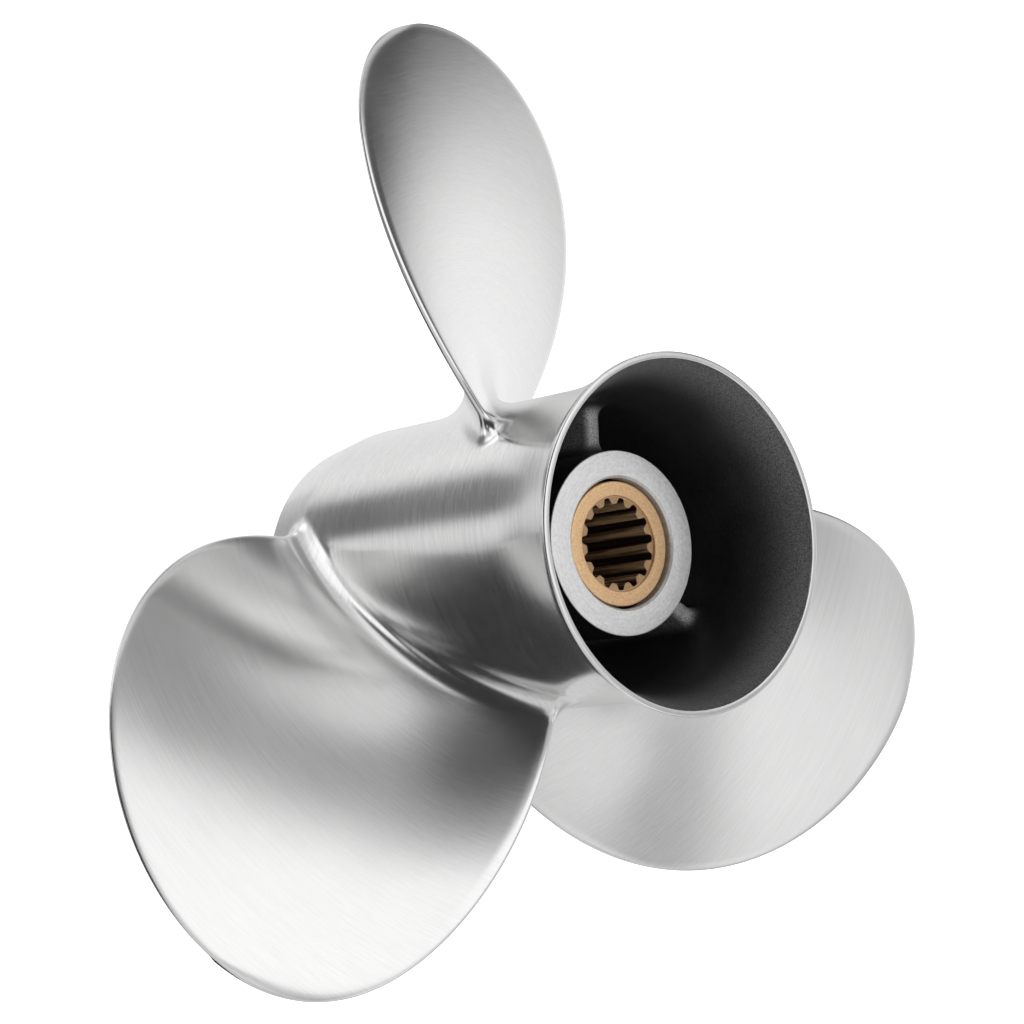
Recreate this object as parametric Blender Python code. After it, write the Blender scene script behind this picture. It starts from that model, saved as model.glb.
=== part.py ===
"""Three-bladed stainless steel boat propeller with a through-hub exhaust.

Metres, +Z up. The shaft axis is Z and points aft, so the flared mouth is at the top and the
propeller stands on the forward rim of its barrel. The origin is the balance point on the axis.
"""

import math

import bmesh
import bpy

MM = 0.001
SHARP_ANGLE = math.radians(35)

# Propeller as a whole
PROPELLER_RADIUS = 190.5 * MM
BLADE_COUNT = 3
MOUTH_Z = 89.4 * MM
BARREL_LENGTH = 169.5 * MM
FORWARD_Z = MOUTH_Z - BARREL_LENGTH

# Barrel, a turned shell with a tapered nose and a flared mouth
BARREL_RADIUS = 54.0 * MM
BARREL_WALL = 4.5 * MM
NOSE_RADIUS = 50.6 * MM
NOSE_LENGTH = 22.5 * MM
NOSE_WALL = 3.6 * MM
MOUTH_RADIUS = 60.8 * MM
MOUTH_WALL = 3.0 * MM
FLARE_LENGTH = 40.0 * MM
RIM_BEVEL = 0.7 * MM
FLARE_STEPS = 8
TURNING_STEPS = 72

# Blades, on a helicoid whose pitch eases off towards the tip
PITCH_AT_ROOT = 410.0 * MM
PITCH_AT_TIP = 390.0 * MM
BLADE_CENTRE_BELOW_MOUTH = 92.3 * MM
HALF_ANGLE = (43.1, -10.7, 2.35)
SKEW_ANGLE = (-5.7, 10.6, -10.7, 12.9)
RAKE_SLOPE = 0.124
RAKE_EASE = 0.55
TRAILING_DROP = 1.5 * MM
ROOT_THICKNESS = 10.0 * MM
TIP_THICKNESS = 3.2 * MM
THINNING_POWER = 0.8
FULLNESS_POWER = 0.9
EDGE_THICKNESS = 2.4 * MM
EDGE_RESERVE = 3
ROOT_FILLET = 9.0 * MM
ROOT_SINK = 1.5 * MM
CHORD_STEPS = 10
EDGE_TURNS = (90, 45, 0, -45, -90)
FILLET_TURNS = (75, 55, 35, 17)
BLADE_ROWS = (0.066, 0.13, 0.22, 0.33, 0.44, 0.55, 0.66, 0.76, 0.85, 0.92, 0.965, 0.99)

# Inner hub tube, carried in the barrel by three ribs
HUB_RADIUS = 31.5 * MM
HUB_FACE_BELOW_MOUTH = 31.7 * MM
HUB_LENGTH = 113.0 * MM
HUB_BORE_RADIUS = 27.0 * MM
HUB_LIP_RADIUS = 22.3 * MM
HUB_LIP_LENGTH = 16.0 * MM
HUB_BEVEL = 0.6 * MM
RIB_COUNT = 3
RIB_THICKNESS = 6.5 * MM
RIB_FILLET = 4.5 * MM
RIB_TURN = math.radians(-6)
RIB_AFT_BELOW_MOUTH = 44.0 * MM
RIB_FORWARD_BELOW_MOUTH = 141.0 * MM
RIB_SINK = 1.5 * MM

# Rubber bush and splined brass sleeve
CLEARANCE = 0.3 * MM
BUSH_LENGTH = 92.0 * MM
SLEEVE_RADIUS = 18.0 * MM
SLEEVE_FACE_BELOW_MOUTH = 33.6 * MM
SLEEVE_LENGTH = 111.0 * MM
FLANGE_RADIUS = 21.3 * MM
FLANGE_LENGTH = 8.0 * MM
SLEEVE_COUNTERBORE = 16.2 * MM
SPLINE_TEETH = 15
SPLINE_FACE_RADIUS = 15.6 * MM
SPLINE_MAJOR_RADIUS = 15.5 * MM
SPLINE_MINOR_RADIUS = 13.5 * MM
SPLINE_RECESS = 0.8 * MM
SPLINE_TURN = math.radians(-3)
SPLINE_TOOTH = ((-0.5, 1.0), (-0.29, 1.0), (-0.17, 0.0), (0.0, -0.03), (0.17, 0.0), (0.29, 1.0))


def polynomial(terms, x):
    return sum(term * x**power for power, term in enumerate(terms))


def mix(low, high, share):
    return low + (high - low) * share


def barrel_radius(z):
    """Outer radius of the barrel at height z."""
    if z < FORWARD_Z + NOSE_LENGTH:
        return mix(NOSE_RADIUS, BARREL_RADIUS, max(z - FORWARD_Z, 0.0) / NOSE_LENGTH)
    rise = max(z - (MOUTH_Z - FLARE_LENGTH), 0.0) / FLARE_LENGTH
    return mix(BARREL_RADIUS, MOUTH_RADIUS, rise**2)


def clear_scene():
    for item in list(bpy.data.objects):
        bpy.data.objects.remove(item, do_unlink=True)


def material(name, colour, roughness, metallic):
    made = bpy.data.materials.new(name)
    made.use_nodes = True
    shader = made.node_tree.nodes["Principled BSDF"]
    shader.inputs["Base Color"].default_value = (*colour, 1.0)
    shader.inputs["Roughness"].default_value = roughness
    shader.inputs["Metallic"].default_value = metallic
    return made


def mesh_object(name, points, faces, finish):
    """One closed mesh as an object, with its faces pointing out and its round sides shaded smooth."""
    mesh = bpy.data.meshes.new(name)
    mesh.from_pydata(points, [], faces)
    shell = bmesh.new()
    shell.from_mesh(mesh)
    bmesh.ops.recalc_face_normals(shell, faces=shell.faces)
    shell.to_mesh(mesh)
    shell.free()
    mesh.shade_smooth()
    mesh.set_sharp_from_angle(angle=SHARP_ANGLE)
    mesh.materials.append(finish)
    made = bpy.data.objects.new(name, mesh)
    bpy.context.scene.collection.objects.link(made)
    return made


def loop_faces(rows, count, closed_rows):
    """Quads between successive rings of count points, and from the last ring to the first if closed."""
    faces = []
    for row in range(rows if closed_rows else rows - 1):
        here = row * count
        there = (row + 1) % rows * count
        for j in range(count):
            k = (j + 1) % count
            faces.append((here + j, here + k, there + k, there + j))
    return faces


def on_cylinder(radius, angle, z):
    return (radius * math.cos(angle), radius * math.sin(angle), z)


def turned(name, profile, finish, steps=TURNING_STEPS):
    """A ring-shaped solid from a closed profile of (radius, z) points turned about the axis."""
    angles = [2 * math.pi * j / steps for j in range(steps)]
    points = [on_cylinder(radius, angle, z) for radius, z in profile for angle in angles]
    return mesh_object(name, points, loop_faces(len(profile), steps, True), finish)


def barrel(finish):
    outside = [
        (NOSE_RADIUS - RIM_BEVEL, FORWARD_Z),
        (NOSE_RADIUS, FORWARD_Z + RIM_BEVEL),
        (BARREL_RADIUS, FORWARD_Z + NOSE_LENGTH),
    ]
    flare = [MOUTH_Z - FLARE_LENGTH * (1 - step / FLARE_STEPS) for step in range(FLARE_STEPS)]
    outside += [(barrel_radius(z), z) for z in flare]
    outside += [(MOUTH_RADIUS, MOUTH_Z - RIM_BEVEL), (MOUTH_RADIUS - RIM_BEVEL, MOUTH_Z)]
    inside = [(MOUTH_RADIUS - MOUTH_WALL, MOUTH_Z)]
    for step, z in reversed(list(enumerate(flare))):
        inside.append((barrel_radius(z) - mix(BARREL_WALL, MOUTH_WALL, step / FLARE_STEPS), z))
    inside += [
        (BARREL_RADIUS - BARREL_WALL, FORWARD_Z + NOSE_LENGTH),
        (NOSE_RADIUS - NOSE_WALL, FORWARD_Z),
    ]
    return turned("propeller_casting", outside + inside, finish)


def inner_hub(finish):
    face = MOUTH_Z - HUB_FACE_BELOW_MOUTH
    front = face - HUB_LENGTH
    step = face - HUB_LIP_LENGTH
    profile = [
        (HUB_RADIUS, front),
        (HUB_RADIUS, face - HUB_BEVEL),
        (HUB_RADIUS - HUB_BEVEL, face),
        (HUB_LIP_RADIUS + HUB_BEVEL, face),
        (HUB_LIP_RADIUS, face - HUB_BEVEL),
        (HUB_LIP_RADIUS, step),
        (HUB_BORE_RADIUS, step),
        (HUB_BORE_RADIUS, front),
    ]
    return turned("inner_hub_tool", profile, finish)


def rib(number, finish):
    """A straight rib from the hub tube to the barrel, flared where it joins them."""
    start = HUB_RADIUS - RIB_SINK
    end = BARREL_RADIUS - BARREL_WALL + RIB_SINK
    half = RIB_THICKNESS / 2
    stations = [(start, half + RIB_FILLET)]
    for turn in (90, 50, 0):
        grown = RIB_FILLET * (1 - math.cos(math.radians(turn)))
        risen = RIB_FILLET * (1 - math.sin(math.radians(turn)))
        stations.append((HUB_RADIUS + risen, half + grown))
    for radius, width in reversed(list(stations)):
        mirrored = BARREL_RADIUS - BARREL_WALL - (radius - HUB_RADIUS)
        stations.append((min(mirrored, end), width))
    outline = stations + [(radius, -width) for radius, width in reversed(stations)]
    angle = RIB_TURN + 2 * math.pi * number / RIB_COUNT
    points = []
    for z in (MOUTH_Z - RIB_AFT_BELOW_MOUTH, MOUTH_Z - RIB_FORWARD_BELOW_MOUTH):
        for radius, width in outline:
            x = radius * math.cos(angle) - width * math.sin(angle)
            y = radius * math.sin(angle) + width * math.cos(angle)
            points.append((x, y, z))
    count = len(outline)
    faces = loop_faces(2, count, False)
    for j in range(len(stations) - 1):
        far = count - 1 - j
        faces.append((j, j + 1, far - 1, far))
        faces.append((count + j, count + j + 1, count + far - 1, count + far))
    return mesh_object(f"rib_tool_{number + 1}", points, faces, finish)


def blade_height(span, angle, chord):
    """Height of the pressure face. Span runs 0 to 1 from root to tip, chord -1 to 1 from leading edge."""
    out = span * (PROPELLER_RADIUS - BARREL_RADIUS)
    pitch = mix(PITCH_AT_ROOT, PITCH_AT_TIP, span)
    rake = RAKE_SLOPE * out - RAKE_EASE * out**2
    drop = TRAILING_DROP * max(chord, 0.0) ** 3
    return MOUTH_Z - BLADE_CENTRE_BELOW_MOUTH + pitch * angle / (2 * math.pi) + rake - drop


def blade_section(span):
    """One section as a closed loop of (arc length, z) points, laid out flat at its own radius.

    The pressure face lies on the helicoid, and the suction face bulges forward from it.
    """
    radius = mix(BARREL_RADIUS, PROPELLER_RADIUS, span)
    above_root = max(span, 0.0)
    half_angle = math.radians(polynomial(HALF_ANGLE, above_root)) * math.sqrt(1 - above_root**2)
    skew = math.radians(polynomial(SKEW_ANGLE, span))
    thickest = mix(ROOT_THICKNESS, TIP_THICKNESS, above_root**THINNING_POWER)
    slope = math.atan2(mix(PITCH_AT_ROOT, PITCH_AT_TIP, span) / (2 * math.pi), radius)
    half_chord = half_angle * radius / math.cos(slope)
    edge = min(EDGE_THICKNESS / 2, half_chord / EDGE_RESERVE)
    along = (math.cos(slope), math.sin(slope))
    inner = 1 - EDGE_RESERVE * edge / half_chord
    stations = [inner * -math.cos(math.pi * j / (CHORD_STEPS - 1)) for j in range(CHORD_STEPS)]

    def place(chord, behind, beyond=0.0):
        angle = skew + chord * half_angle
        x = radius * angle + beyond * along[0] + behind * along[1]
        return (x, blade_height(span, angle, chord) + beyond * along[1] - behind * along[0])

    def round_edge(end, turns):
        centre = 1 - edge / half_chord
        for turn in turns:
            out = math.cos(math.radians(turn)) * edge * end
            behind = edge - math.sin(math.radians(turn)) * edge * end
            yield place(end * centre, behind, out)

    pressure = [place(chord, 0.0) for chord in stations]
    suction = []
    for chord in reversed(stations):
        thickness = mix(2 * edge, thickest, (1 - chord**2) ** FULLNESS_POWER)
        suction.append(place(chord, thickness))
    trailing = list(round_edge(1, EDGE_TURNS))
    leading = list(round_edge(-1, EDGE_TURNS))
    return pressure + trailing + suction + leading


def grown(loop, amount):
    """The flat loop moved outwards by amount."""
    count = len(loop)
    area = sum(a[0] * b[1] - b[0] * a[1] for a, b in zip(loop, loop[1:] + loop[:1]))
    side = math.copysign(amount, area)
    moved = []
    for j, (x, z) in enumerate(loop):
        before, after = loop[j - 1], loop[(j + 1) % count]
        dx, dz = after[0] - before[0], after[1] - before[1]
        length = math.hypot(dx, dz)
        moved.append((x + side * dz / length, z - side * dx / length))
    return moved


def blade(number, finish):
    """A blade whose root flares into the barrel with a round fillet, and sinks into its wall."""
    rows = []
    sunk = BARREL_RADIUS - ROOT_SINK
    turn = math.radians(FILLET_TURNS[0])
    rows.append((sunk, ROOT_FILLET * (1 - math.cos(turn)) + ROOT_SINK))
    for degrees in FILLET_TURNS:
        turn = math.radians(degrees)
        height = ROOT_FILLET * (1 - math.sin(turn))
        rows.append((BARREL_RADIUS + height, ROOT_FILLET * (1 - math.cos(turn))))
    rows += [(mix(BARREL_RADIUS, PROPELLER_RADIUS, span), 0.0) for span in BLADE_ROWS]
    start = 2 * math.pi * number / BLADE_COUNT
    points = []
    for radius, growth in rows:
        span = (radius - BARREL_RADIUS) / (PROPELLER_RADIUS - BARREL_RADIUS)
        loop = blade_section(span)
        if growth:
            loop = grown(loop, growth)
        follow = min(max(1 - (radius - BARREL_RADIUS - ROOT_FILLET) / (2 * ROOT_FILLET), 0.0), 1.0)
        for x, z in loop:
            fitted = radius + follow * (barrel_radius(z) - BARREL_RADIUS)
            points.append(on_cylinder(fitted, start + x / radius, z))
    count = len(loop)
    faces = loop_faces(len(rows), count, False)
    tip_angle = math.radians(polynomial(SKEW_ANGLE, 1.0))
    tip_z = blade_height(1.0, tip_angle, 0.0) - TIP_THICKNESS / 2
    points.append(on_cylinder(PROPELLER_RADIUS, start + tip_angle, tip_z))
    last = (len(rows) - 1) * count
    faces += [(last + j, last + (j + 1) % count, len(points) - 1) for j in range(count)]
    side = CHORD_STEPS + len(EDGE_TURNS)
    middle = len(EDGE_TURNS) // 2
    for j in range(side):
        a = (CHORD_STEPS + middle - j) % count
        b = (CHORD_STEPS + middle + j) % count
        corners = [a, (a - 1) % count, (b + 1) % count, b]
        faces.append(tuple(dict.fromkeys(corners)))
    return mesh_object(f"blade_tool_{number + 1}", points, faces, finish)


def join_into(body, tools):
    """Fuses the tools into the body with one Boolean, and leaves them as hidden wires."""
    group = bpy.data.collections.new("casting_tools")
    bpy.context.scene.collection.children.link(group)
    for tool in tools:
        bpy.context.scene.collection.objects.unlink(tool)
        group.objects.link(tool)
        tool.hide_render = True
        tool.display_type = "WIRE"
    fuse = body.modifiers.new("Fused casting", "BOOLEAN")
    fuse.operation = "UNION"
    fuse.solver = "EXACT"
    fuse.operand_type = "COLLECTION"
    fuse.collection = group


def rubber_bush(finish):
    aft = MOUTH_Z - HUB_FACE_BELOW_MOUTH - HUB_LIP_LENGTH - CLEARANCE
    profile = [
        (HUB_BORE_RADIUS - CLEARANCE, aft - BUSH_LENGTH),
        (HUB_BORE_RADIUS - CLEARANCE, aft),
        (SLEEVE_RADIUS + CLEARANCE, aft),
        (SLEEVE_RADIUS + CLEARANCE, aft - BUSH_LENGTH),
    ]
    return turned("rubber_bush", profile, finish)


def spline_sleeve(finish):
    """The sleeve as rings of points: the rings in the splined stretch follow its teeth."""
    face = MOUTH_Z - SLEEVE_FACE_BELOW_MOUTH
    front = face - SLEEVE_LENGTH
    bevel = HUB_BEVEL
    rings = [
        (FLANGE_RADIUS - bevel / 2, face),
        (FLANGE_RADIUS, face - bevel / 2),
        (FLANGE_RADIUS, face - FLANGE_LENGTH),
        (SLEEVE_RADIUS, face - FLANGE_LENGTH),
        (SLEEVE_RADIUS, front),
        (SLEEVE_COUNTERBORE, front),
        (SPLINE_FACE_RADIUS, front + SPLINE_RECESS),
        (None, front + SPLINE_RECESS),
        (None, face - SPLINE_RECESS),
        (SPLINE_FACE_RADIUS, face - SPLINE_RECESS),
        (SLEEVE_COUNTERBORE, face),
    ]
    toothed = []
    for tooth in range(SPLINE_TEETH):
        for place, depth in SPLINE_TOOTH:
            angle = SPLINE_TURN + 2 * math.pi * (tooth + place) / SPLINE_TEETH
            toothed.append((angle, mix(SPLINE_MINOR_RADIUS, SPLINE_MAJOR_RADIUS, depth)))
    points = []
    for radius, z in rings:
        points += [on_cylinder(radius or inner, angle, z) for angle, inner in toothed]
    return mesh_object("spline_sleeve", points, loop_faces(len(rings), len(toothed), True), finish)


def main():
    clear_scene()
    steel = material("satin_stainless_steel", (0.62, 0.62, 0.61), 0.28, 1.0)
    rubber = material("black_rubber", (0.02, 0.02, 0.02), 0.7, 0.0)
    brass = material("pale_brass", (0.78, 0.57, 0.36), 0.42, 1.0)
    casting = barrel(steel)
    tools = [inner_hub(steel)]
    tools += [rib(number, steel) for number in range(RIB_COUNT)]
    tools += [blade(number, steel) for number in range(BLADE_COUNT)]
    join_into(casting, tools)
    rubber_bush(rubber)
    spline_sleeve(brass)


main()
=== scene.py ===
"""The looks of the boat propeller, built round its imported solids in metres, with +Z along the shaft."""

import math

import bmesh
import bpy
import numpy as np
from mathutils import Matrix, Vector
from mathutils.geometry import delaunay_2d_cdt


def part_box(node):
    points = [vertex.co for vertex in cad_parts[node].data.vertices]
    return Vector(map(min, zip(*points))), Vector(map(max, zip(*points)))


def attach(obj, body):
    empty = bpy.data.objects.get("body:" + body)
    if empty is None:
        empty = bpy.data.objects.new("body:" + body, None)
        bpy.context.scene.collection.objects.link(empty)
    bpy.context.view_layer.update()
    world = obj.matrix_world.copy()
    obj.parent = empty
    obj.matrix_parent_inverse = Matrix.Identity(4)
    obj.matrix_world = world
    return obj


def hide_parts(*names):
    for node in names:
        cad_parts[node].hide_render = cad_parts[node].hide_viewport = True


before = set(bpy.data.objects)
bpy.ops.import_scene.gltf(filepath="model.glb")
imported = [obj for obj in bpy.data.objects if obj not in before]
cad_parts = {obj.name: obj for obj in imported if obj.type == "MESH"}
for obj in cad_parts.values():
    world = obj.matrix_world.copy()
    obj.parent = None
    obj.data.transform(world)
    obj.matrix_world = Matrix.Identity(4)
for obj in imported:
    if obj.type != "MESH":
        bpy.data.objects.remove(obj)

MM = 0.001
FULL_TURN = 2 * math.pi
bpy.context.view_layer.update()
CASTING_LOW, CASTING_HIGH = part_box("propeller_casting")
SLEEVE_LOW, SLEEVE_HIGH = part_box("spline_sleeve")
BUSH_LOW, BUSH_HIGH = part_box("rubber_bush")

# The casting repeats three times round the axis. A third holds one blade and one rib, and ends at
# the cut angle, clear of both.
THIRDS = 3
THIRD_TURN = FULL_TURN / THIRDS
CUT_ANGLE = math.radians(54)

# Barrel
MOUTH_Z = CASTING_HIGH.z
FORWARD_Z = CASTING_LOW.z
BARREL_RADIUS = 54.0 * MM
BORE_RADIUS = BARREL_RADIUS - 4.5 * MM
NOSE_RADIUS = 50.6 * MM
NOSE_BORE_RADIUS = NOSE_RADIUS - 3.6 * MM
NOSE_LENGTH = 22.5 * MM
SHOULDER_SOFTNESS = 0.7 * MM
MOUTH_RADIUS = 60.8 * MM
MOUTH_BORE_RADIUS = MOUTH_RADIUS - 2.5 * MM
FLARE_LENGTH = 40.0 * MM
RIM_ROUND = 0.7 * MM
RIM_INNER_ROUND = 0.4 * MM

# Blades. The two angles are in degrees, as polynomials of the share of the way from barrel to tip:
# half the width before the rounded outline narrows it, and the turn of the blade's middle line.
PROPELLER_RADIUS = 190.0 * MM
BLADE_LENGTH = PROPELLER_RADIUS - BARREL_RADIUS
PITCH_AT_ROOT = 410.0 * MM
PITCH_AT_TIP = 390.0 * MM
BLADE_CENTRE_BELOW_MOUTH = 92.3 * MM
HALF_ANGLE = (43.1, -10.7, 2.35)
SKEW_ANGLE = (-5.7, 10.6, -10.7, 12.9)
ROOT_THICKNESS = 10.0 * MM
THICKNESS_POWER = 0.9
THINNING = 0.37
THINNING_REACH = 0.2
EDGE_RADIUS = 1.2 * MM
TIP_EDGE_RADIUS = 0.75 * MM
EDGE_FINING = 1.5
TRAILING_DROP = 1.5 * MM
ROLL_DEPTH = 0.45 * MM
ROLL_WIDTH = 3.4 * MM
ROOT_FILLET = 9.0 * MM

# Rake: metres aft for each metre outwards, less this many metres for each metre outwards squared
RAKE_SLOPE = 0.124
RAKE_EASE = 0.55

# Inner hub tube
HUB_RADIUS = 31.5 * MM
HUB_FACE_Z = MOUTH_Z - 31.7 * MM
HUB_FRONT_Z = HUB_FACE_Z - 113.0 * MM
HUB_BORE_RADIUS = 27.0 * MM
HUB_LIP_RADIUS = 22.3 * MM
HUB_LIP_LENGTH = 16.0 * MM
HUB_ROUND = 0.35 * MM
HUB_BEVEL = 0.7 * MM
HUB_MACHINED_DEPTH = 5.0 * MM

# Ribs
RIB_HALF_THICKNESS = 3.25 * MM
RIB_CORNER = 2.4 * MM
RIB_FILLET = 5.0 * MM
RIB_TURN = math.radians(-6)
RIB_AFT_Z = MOUTH_Z - 44.0 * MM
RIB_FORWARD_Z = MOUTH_Z - 137.5 * MM

# Sleeve
SLEEVE_RADIUS = 18.0 * MM
SLEEVE_EDGE = 0.5 * MM
FLANGE_RADIUS = SLEEVE_HIGH.x
FLANGE_LENGTH = 8.0 * MM
FLANGE_BACK_EDGE = 0.3 * MM
COUNTERBORE_RADIUS = 16.2 * MM
COUNTERBORE_BEVEL = 0.25 * MM

# Splines. The half-width of a tooth and the softness of its flank are shares of the teeth's spacing.
SPLINE_TEETH = 15
SPLINE_MAJOR_RADIUS = 15.6 * MM
SPLINE_MINOR_RADIUS = 13.5 * MM
SPLINE_RECESS = 0.8 * MM
SPLINE_BEVEL = 0.2 * MM
SPLINE_TURN = math.radians(-3)
TOOTH_HALF_WIDTH = 0.27
FLANK_SOFTNESS = 0.07
FLANK_STEEPNESS = 2.2

# Bush
BUSH_CLEARANCE = 0.3 * MM
BUSH_EDGE = 1.2 * MM
BUSH_SAG = 0.8 * MM

# Fineness of the blades' mesh. The edge turns are in degrees round the edge, from the outline inwards,
# and the edge blends are the insets of the last rings round it.
CHORD_COLUMNS = 64
COLUMN_REACH = 0.8
COLUMN_EVENNESS = 0.5
SPAN_ROWS = 70
FILLET_ROWS = 11
EDGE_TURNS = (0, 14, 28, 42, 58, 74, 90)
EDGE_BLEND = (2.2 * MM, 4.0 * MM)

# Fineness of the other meshes
TURN_STEP = math.radians(2)
AXIAL_STEP = 3.0 * MM
RIB_ARC_POINTS = 7
RIB_SIDE_STEPS = 32
RIB_HEIGHT_STEPS = 4
TOOTH_STEPS = 16
SPLINE_RINGS = 12
BUSH_END_STEPS = 6

# A wall's cells stay regular this many cells away from a hole, and points nearer than this are left out
CLEAR_CELLS = 1.6
LEAST_CELLS = 0.45

# Limits of the meshing, in metres and square metres
TINY = 1e-9
SLIVER_AREA = 1e-10
WELD_DISTANCE = 1e-6
LEAST_EDGE = 1e-7
SHARP_ANGLE = math.radians(32)

# Slots of the casting's finishes and of the sleeve's
STEEL, BLACK, MACHINED = range(3)
FACE, BORE = range(2)

# Colours as linear red, green and blue: the dark and the light end of each finish
STEEL_TONES = ((0.665, 0.665, 0.662), (0.775, 0.775, 0.772))
CAST_TONES = ((0.024, 0.024, 0.026), (0.047, 0.047, 0.050))
# The pale worn cast tones also stand for painted light near the barrel's mouth and on the ribs
WORN_AND_LIT_CAST_TONES = ((0.22, 0.22, 0.222), (0.75, 0.75, 0.755))
MACHINED_TONES = ((0.72, 0.72, 0.72), (0.96, 0.96, 0.96))
BRASS_TONES = ((0.69, 0.43, 0.215), (0.90, 0.62, 0.365))
# Painted shade down in the sleeve's counterbore
BRASS_RECESS_SHADE_TONE = (0.16, 0.09, 0.045)
SPLINE_TONES = ((0.25, 0.16, 0.09), (0.98, 0.70, 0.43))
# Painted shade in the spline grooves
SPLINE_GROOVE_SHADE_TONE = (0.035, 0.022, 0.014)
RUBBER_TONE = (0.012, 0.012, 0.012)
FLOOR_TONE = (0.9, 0.9, 0.9)
WHITE = (1.0, 1.0, 1.0)

# The steel's finish changes from the barrel's to the blades' between these radii
FINISH_CHANGE = (58.0 * MM, 68.0 * MM)

# Studio. A panel is given by the azimuth and elevation of its middle, its half-width, its half-width
# with its soft edge, all in degrees, and its brightness. It lies over the panels before it.
FLOOR_REACH = 6.0
FLOOR_GLOW = 0.85
PANEL_GLOW = 0.89
SURROUND = 0.85
PANELS = (
    (-50, 70, 18, 29, 1.5),
    (-86, 57, 6, 15, 1.4),
    (-97, 46, 4, 14, 0.55),
    (-86, -56, 8, 22, 0.6),
    (25, 41, 9, 30, 0.17),
    (60, 25, 25, 38, 0.05),
    (85, 10, 22, 36, 0.05),
    (140, -55, 26, 40, 0.05),
    (-38, 36, 4, 12, 0.38),
    (-31, 41, 3, 8, 0.47),
    (-22, 40, 3, 8, 0.55),
    (-14, 40, 4, 12, 0.5),
    (-12, 27, 5, 13, 1.0),
    (-16, -2, 8, 18, 0.4),
    (-140, 5, 20, 38, 0.62),
    (-95, -22, 18, 36, 1.22),
    (-66, 20, 7, 23, 0.12),
    (-53, -8, 5, 17, 0.2),
    (-30, -55, 20, 33, 1.05),
    (0, -68, 4, 11, 0.62),
    (12, -37, 7, 13, 1.8),
    (-10, -24, 4, 9, 1.7),
    (77, 3, 4, 9, 0.8),
    (32, -12, 12, 18, 1.5),
    (20, -7, 6, 11, 1.35),
    (48, -1, 4, 9, 1.8),
    (56, 3, 6, 11, 1.6),
    (26, 13, 4, 9, 1.2),
    (15, 20, 4, 10, 1.35),
    (40, -32, 5, 10, 1.7),
    (52, -44, 4, 10, 0.15),
    (70, -33, 6, 12, 1.7),
    (40, -52, 6, 15, 0.2),
    (30, -63, 4, 9, 0.3),
    (66, -57, 3, 9, 1.05),
    (145, 48, 8, 20, 1.03),
    (215, 48, 8, 24, 1.2),
    (178, 50, 2, 10, 0.64),
    (176, 63, 4, 12, 0.56),
    (160, 34, 4, 11, 0.6),
    (-135, 31, 3, 13, 0.65),
)

# Camera: lens and sensor in millimetres, angles in degrees, distance and target in metres
LENS = 98.45
SENSOR_WIDTH = 36.0
CAMERA_DISTANCE = 0.988
CAMERA_AZIMUTH = 93.85
CAMERA_ELEVATION = 50.53
CAMERA_ROLL = 80.16
CAMERA_TARGET = Vector((0.0167, 0.0002, 0.0015))


def polynomial(terms, x):
    return sum(term * x**power for power, term in enumerate(terms))


def mix(low, high, share):
    return low + (high - low) * share


def direction(azimuth, elevation):
    """The unit vector towards an azimuth and an elevation in degrees."""
    azimuth, elevation = math.radians(azimuth), math.radians(elevation)
    level = math.cos(elevation)
    return Vector((math.cos(azimuth) * level, math.sin(azimuth) * level, math.sin(elevation)))


def on_axis(radius, angle, z):
    """Points in space from their radius and angle round the shaft axis and their height along it."""
    return np.stack(np.broadcast_arrays(radius * np.cos(angle), radius * np.sin(angle), z), -1)


def heights_between(low, high):
    return np.linspace(low, high, max(2, round((high - low) / AXIAL_STEP) + 1))


def wall_radius(z, straight, nose, mouth):
    """Radius of one face of the barrel's wall at height z: tapered nose, straight barrel, flared mouth."""
    into_nose = (FORWARD_Z + NOSE_LENGTH - z) / SHOULDER_SOFTNESS
    eased = SHOULDER_SOFTNESS * np.logaddexp(0.0, into_nose)
    taper = (straight - nose) / NOSE_LENGTH
    rise = np.maximum(z - (MOUTH_Z - FLARE_LENGTH), 0.0) / FLARE_LENGTH
    return straight - taper * eased + (mouth - straight) * rise**2


def barrel_radius(z):
    """Outer radius of the barrel at height z."""
    return wall_radius(z, BARREL_RADIUS, NOSE_RADIUS, MOUTH_RADIUS)


def bore_radius(z):
    """Inner radius of the barrel at height z."""
    return wall_radius(z, BORE_RADIUS, NOSE_BORE_RADIUS, MOUTH_BORE_RADIUS)


def hub_radius(z):
    """Outer radius of the hub tube, the same at every height."""
    return np.full_like(z, HUB_RADIUS)


class Skin:
    """Points and faces gathered patch by patch, and welded into one closed mesh at the end."""

    def __init__(self):
        self.points = []
        self.faces = []
        self.finishes = []
        self.count = 0

    def add(self, points, faces, finish):
        self.points.append(np.asarray(points, float).reshape(-1, 3))
        self.faces += [tuple(corner + self.count for corner in face) for face in faces]
        self.finishes += [finish] * len(faces)
        self.count += len(self.points[-1])

    def piece(self, name, materials):
        mesh = bpy.data.meshes.new(name)
        mesh.from_pydata(np.vstack(self.points), [], self.faces)
        mesh.polygons.foreach_set("material_index", np.array(self.finishes, np.int32))
        shell = bmesh.new()
        shell.from_mesh(mesh)
        bmesh.ops.remove_doubles(shell, verts=shell.verts, dist=WELD_DISTANCE)
        bmesh.ops.dissolve_degenerate(shell, edges=shell.edges, dist=LEAST_EDGE)
        bmesh.ops.recalc_face_normals(shell, faces=shell.faces)
        if shell.calc_volume(signed=True) < 0.0:
            bmesh.ops.reverse_faces(shell, faces=shell.faces)
        shell.to_mesh(mesh)
        shell.free()
        mesh.shade_smooth()
        mesh.set_sharp_from_angle(angle=SHARP_ANGLE)
        for finish in materials:
            mesh.materials.append(finish)
        made = bpy.data.objects.new(name, mesh)
        bpy.context.scene.collection.objects.link(made)
        return made


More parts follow.
